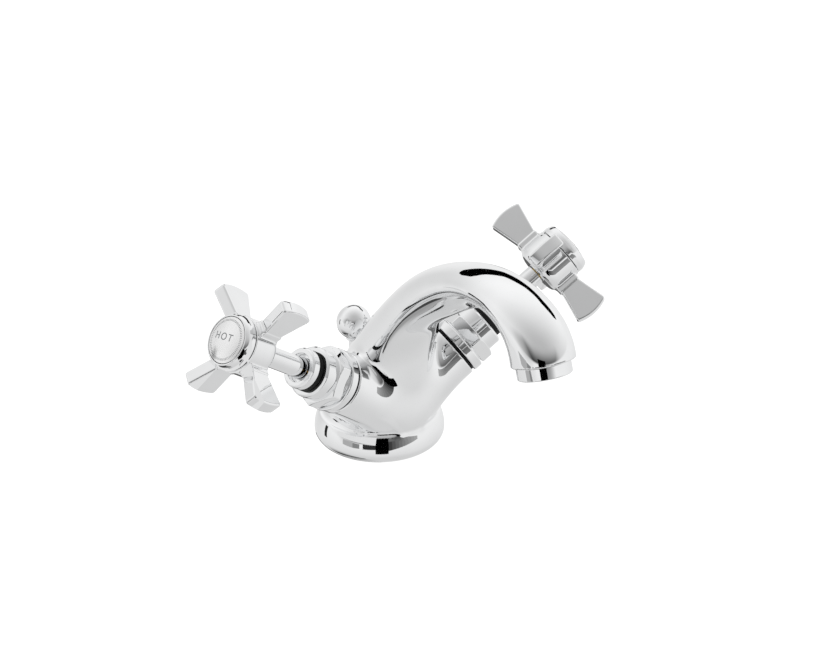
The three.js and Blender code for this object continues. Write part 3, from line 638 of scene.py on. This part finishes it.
cap = turned(
    [
        (0, 97), (7.2, 97), (7.2, 100.3), (CAP_RADIUS, 100.3), (CAP_RADIUS, 102.7), (11.5, 104.2),
        (10.8, CAP_END), (10.2, CAP_END), (10.2, 104.4), (0, 104.4),
    ],
    0.5,
)
plate_profile = [(0, 104.7), (PLATE_RADIUS, 104.7)]
for step in range(11):
    share = 1 - step / 10
    plate_profile.append((PLATE_RADIUS * share, CAP_END + PLATE_CROWN * (1 - share**2)))
plate = turned(plate_profile, 0.3)


def plate_height(x, y):
    """Height of the crowned index plate at a place on its face."""
    return CAP_END + PLATE_CROWN * (1 - (x * x + y * y) / PLATE_RADIUS**2)


def letters(word):
    """Points and faces of a word, flat about z = 0."""
    curve = bpy.data.curves.new(word, "FONT")
    curve.body = word
    curve.size = 4.4
    curve.align_x = "CENTER"
    curve.align_y = "CENTER"
    curve.extrude = MARK_RISE
    curve.space_character = 1.25
    holder = bpy.data.objects.new(word, curve)
    bpy.context.scene.collection.objects.link(holder)
    text = bpy.data.meshes.new_from_object(holder.evaluated_get(bpy.context.evaluated_depsgraph_get()))
    across, up = LETTER_SHIFT
    points = [[vertex.co.x + across, vertex.co.y + up, vertex.co.z] for vertex in text.vertices]
    faces = [list(polygon.vertices) for polygon in text.polygons]
    bpy.data.objects.remove(holder)
    bpy.data.curves.remove(curve)
    bpy.data.meshes.remove(text)
    return points, faces


def tick_points(angle):
    """The eight corners of one tick, the lower four first."""
    inner, outer, half = TICK["inner"], TICK["outer"], TICK["half"]
    points = []
    for height in (-MARK_RISE, MARK_RISE):
        for out, aside in ((inner, -half), (outer, -half), (outer, half), (inner, half)):
            x = out * math.cos(angle) - aside * math.sin(angle)
            y = out * math.sin(angle) + aside * math.cos(angle)
            points.append([x, y, height])
    return points


def index_marks(word, turn):
    """Letters and a ring of plain ticks, laid on the crowned face of the index plate."""
    points, faces = letters(word)
    for tick in range(TICK["count"]):
        start = len(points)
        points += tick_points(tick * 360 / TICK["count"] * DEG)
        for face in ((0, 3, 2, 1), (4, 5, 6, 7), (0, 1, 5, 4), (1, 2, 6, 5), (2, 3, 7, 6), (3, 0, 4, 7)):
            faces.append([start + i for i in face])
    points = np.array(points)
    turned_x = points[:, 0] * math.cos(turn) - points[:, 1] * math.sin(turn)
    turned_y = points[:, 0] * math.sin(turn) + points[:, 1] * math.cos(turn)
    heights = plate_height(turned_x, turned_y) + points[:, 2] + 0.01
    normals = np.column_stack([np.zeros(len(points)), np.zeros(len(points)), np.ones(len(points))])
    return np.column_stack([turned_x, turned_y, heights]), normals, faces


for prefix, side in (("hot", -1), ("cold", 1)):
    at_rest = valve_frame(side)
    bonnet_frame = valve_frame(side, HEX_TURN)
    handle_frame = valve_frame(side, REST_ANGLE[prefix])
    control = f"{prefix}_control"
    bonnet_node = f"{prefix}_valve_bonnet"
    add_piece(f"{prefix}_bonnet", bonnet, "tap_body", chrome, [bonnet_node], bonnet_frame)
    # Painted shade: a black ring fills the bonnet's groove in place of the groove's dark reflection.
    add_piece(f"{prefix}_groove_shade_ring", groove_shade_ring, "tap_body", rubber, [], at_rest)
    add_piece(f"{prefix}_crosshead", handle, control, chrome, [f"{prefix}_handle"], handle_frame)
    add_piece(f"{prefix}_sleeve", sleeve, control, chrome, [f"{prefix}_spindle_sleeve"], at_rest)
    add_piece(f"{prefix}_cap", cap, control, chrome, [f"{prefix}_index_cap"], at_rest)
    plate_node = f"{prefix}_index_plate"
    add_piece(f"{prefix}_plate", plate, control, index_metal, [plate_node], at_rest)
    marks = index_marks(prefix.upper(), LETTER_TURN[prefix])
    add_piece(f"{prefix}_index_marks", marks, control, marking, [], at_rest)

# ---------------------------------------------------------------- studio
# Lengths here are in metres and directions in degrees.

WORLD_WHITE = 1.04
FLOOR_HALF = 6
FLOOR_DEPTH = -0.0001  # just under the tap's base
FAR = 4
NEAR = 0.5
BASE_FRONT = Vector((0, -0.029, 0.01))
CAMERA_WEST = -40.5
CAMERA_EAST = -17.5
SIDE_STEPS = 9
SIDE_WIDTH = 6
SIDE_LAP = 0.1
SIDE_RISE = 1.5


def plain_material(name, glow, base=(0, 0, 0)):
    """A matt surface of colour base that also gives off an even grey glow."""
    material, tree, shader = new_material(name)
    shader.inputs["Base Color"].default_value = (*base, 1)
    shader.inputs["Roughness"].default_value = 0.9
    shader.inputs["Specular IOR Level"].default_value = 0
    shader.inputs["Emission Color"].default_value = (1, 1, 1, 1)
    shader.inputs["Emission Strength"].default_value = glow
    return material


def stage_mesh(name, corners, material, camera, glossy):
    """A flat surface of the studio, seen by the camera or only by reflections."""
    mesh = bpy.data.meshes.new(name)
    mesh.from_pydata(corners, [], [tuple(range(len(corners)))])
    mesh.materials.append(material)
    card = bpy.data.objects.new(name, mesh)
    bpy.context.scene.collection.objects.link(card)
    card.visible_camera = camera
    card.visible_glossy = glossy
    card.visible_shadow = False
    card.visible_diffuse = False
    card.visible_transmission = False
    return card


def towards(azimuth, elevation):
    """A direction: azimuth 0 is along -Y and grows towards +X, in degrees."""
    flat = math.cos(elevation * DEG)
    x, y = flat * math.sin(azimuth * DEG), -flat * math.cos(azimuth * DEG)
    return Vector((x, y, math.sin(elevation * DEG)))


def far_card(name, grey, directions):
    """A dark card far off that only reflections see, its corners given as directions."""
    corners = [towards(*direction) * FAR for direction in directions]
    return stage_mesh(name, corners, plain_material(name, grey), False, True)


def near_card(name, grey, west, east, low_west, low_east, high, distance=NEAR):
    """A card close by that only reflections see, its edges given as seen from the base's front."""
    directions = [(west, low_west), (east, low_east), (east, high), (west, high)]
    corners = [BASE_FRONT + towards(*direction) * distance for direction in directions]
    return stage_mesh(name, corners, plain_material(name, grey), False, True)


floor_square = [(-1, -1), (1, -1), (1, 1), (-1, 1)]
floor_corners = [(x * FLOOR_HALF, y * FLOOR_HALF, FLOOR_DEPTH) for x, y in floor_square]
stage_mesh("floor", floor_corners, plain_material("floor", 1.0, (0.2, 0.2, 0.2)), True, False)

# In front, near the table: a white reflector, the camera, and what stands left of it
near_card("reflector", 0.82, -114, -46, 3, 3, 38, 0.12)
near_card("camera_box", 0.0, CAMERA_WEST, CAMERA_EAST, -24, -24, 22)
near_card("strip_near", 0.03, -62, -40, -12, -11, 2)
near_card("strip_middle", 0.25, -80, -68, -13, -12, 0)
near_card("strip_far", 0.45, -98, -80, -11, -13, 1)

# Right of the camera: a side wall that grows lighter and narrower in steps
for step in range(SIDE_STEPS):
    west = CAMERA_EAST + SIDE_WIDTH * step
    east = west + SIDE_WIDTH + SIDE_LAP
    low = -15 + SIDE_RISE * step
    near_card(f"side_{step}", 0.05 + 0.045 * step, west, east, low, low + SIDE_RISE, 11)

# Behind: a dark wall, a beam that bends in three lengths, the table's edge and a post
far_card("dark_wall", 0.12, [(148, -30), (176, -30), (176, -54), (148, -54)])
beam_near_low = [(142, 11), (150, 11.5), (158, 14), (167, 19), (171, 23)]
beam_near_high = [(167, 28), (160, 27), (152, 24), (143, 23)]
far_card("beam_near", 0.0, beam_near_low + beam_near_high)
far_card("beam_middle", 0.0, [(133, 18), (138, 14), (142, 11), (143, 23), (138, 26.5), (133, 28.5)])
beam_far_low = [(98, 32), (105, 29), (120, 27.5), (133, 18)]
beam_far_high = [(133, 28.5), (125, 33.5), (118, 38), (110, 39), (100, 36.5)]
far_card("beam_far", 0.0, beam_far_low + beam_far_high)
table_edge_high = [(-155, -47), (-120, -52), (-92, -57), (-72, -64)]
table_edge_low = [(-75, -70), (-100, -66), (-120, -62), (-155, -56)]
far_card("table_edge", 0.06, table_edge_high + table_edge_low)
far_card("post", 0.02, [(-140, -18), (-133, -18), (-133, 4), (-140, 4)])


def math_node(tree, operation, *values):
    node = tree.nodes.new("ShaderNodeMath")
    node.operation = operation
    for socket, value in zip(node.inputs, values):
        if isinstance(value, (int, float)):
            socket.default_value = value
        else:
            tree.links.new(value, socket)
    return node.outputs["Value"]


def ramp(tree, value, start, end, low, high):
    """Runs smoothly from low at start to high at end."""
    node = tree.nodes.new("ShaderNodeMapRange")
    node.interpolation_type = "SMOOTHSTEP"
    node.inputs["From Min"].default_value = start
    node.inputs["From Max"].default_value = end
    node.inputs["To Min"].default_value = low
    node.inputs["To Max"].default_value = high
    tree.links.new(value, node.inputs["Value"])
    return node.outputs["Result"]


def shade(tree, way, azimuth, elevation, inner, outer, depth):
    """A soft dark patch in the sky: depth within the inner angle, 1 beyond the outer one."""
    facing = tree.nodes.new("ShaderNodeVectorMath")
    facing.operation = "DOT_PRODUCT"
    facing.inputs[1].default_value = towards(azimuth, elevation)
    tree.links.new(way, facing.inputs[0])
    angle = math_node(tree, "ARCCOSINE", facing.outputs["Value"])
    return ramp(tree, angle, inner * DEG, outer * DEG, depth, 1)


def above_horizon(tree, way):
    """0 below the far edge of the table, 1 above it. The edge leans a little to one side."""
    tilted = tree.nodes.new("ShaderNodeVectorMath")
    tilted.operation = "DOT_PRODUCT"
    tilted.inputs[1].default_value = (-0.12, 0, 1)
    tree.links.new(way, tilted.inputs[0])
    return ramp(tree, tilted.outputs["Value"], math.sin(6 * DEG), math.sin(12 * DEG), 0, 1)


def front_darkness(tree, way, height):
    """The user's side of the room: dark, and darkest low down in the middle."""
    room = shade(tree, way, -25, 38, 10, 108, 0.5)
    low_sky = ramp(tree, height, 0, 0.725, 0.05, 1)
    middle = math_node(tree, "MAXIMUM", low_sky, shade(tree, way, -30, 10, 30, 65, 0))
    loss = math_node(tree, "SUBTRACT", math_node(tree, "MULTIPLY", room, middle), 1)
    return math_node(tree, "ADD", math_node(tree, "MULTIPLY", loss, above_horizon(tree, way)), 1)


def light_studio():
    """A white studio, darker on the user's side and towards the ground."""
    world = bpy.data.worlds.new("studio")
    bpy.context.scene.world = world
    world.use_nodes = True
    tree = world.node_tree
    coords = tree.nodes.new("ShaderNodeTexCoord")
    way = coords.outputs["Generated"]
    parts = tree.nodes.new("ShaderNodeSeparateXYZ")
    tree.links.new(way, parts.inputs["Vector"])
    height = parts.outputs["Z"]
    front = front_darkness(tree, way, height)
    ground = ramp(tree, height, -1, 0.1, 0.74, 1)
    sky = ramp(tree, height, 0.15, 0.6, 0.9, 1)
    back = shade(tree, way, -172, 12, 10, 45, 0.8)
    left = shade(tree, way, -84, 14, 8, 30, 0.66)
    under = shade(tree, way, -130, -62, 10, 30, 0.5)
    strength = WORLD_WHITE
    for factor in (front, ground, sky, back, left, under):
        strength = math_node(tree, "MULTIPLY", strength, factor)
    background = tree.nodes["Background"]
    background.inputs["Color"].default_value = (1, 1, 1, 1)
    tree.links.new(strength, background.inputs["Strength"])


light_studio()

# ---------------------------------------------------------------- camera

camera_data = bpy.data.cameras.new("camera")
camera_data.sensor_width = 36
camera_data.lens = 111.5
camera_data.clip_end = 50
camera = bpy.data.objects.new("camera", camera_data)
bpy.context.scene.collection.objects.link(camera)
target = Vector((0.0026385, -0.0237533, 0.0630968))
camera.location = (-0.51875, -0.8482, 0.56142)
camera.rotation_euler = (target - camera.location).to_track_quat("-Z", "Y").to_euler()
bpy.context.scene.camera = camera
bpy.context.scene.view_settings.view_transform = "Standard"
bpy.context.scene.cycles.use_denoising = True

bpy.context.view_layer.update()
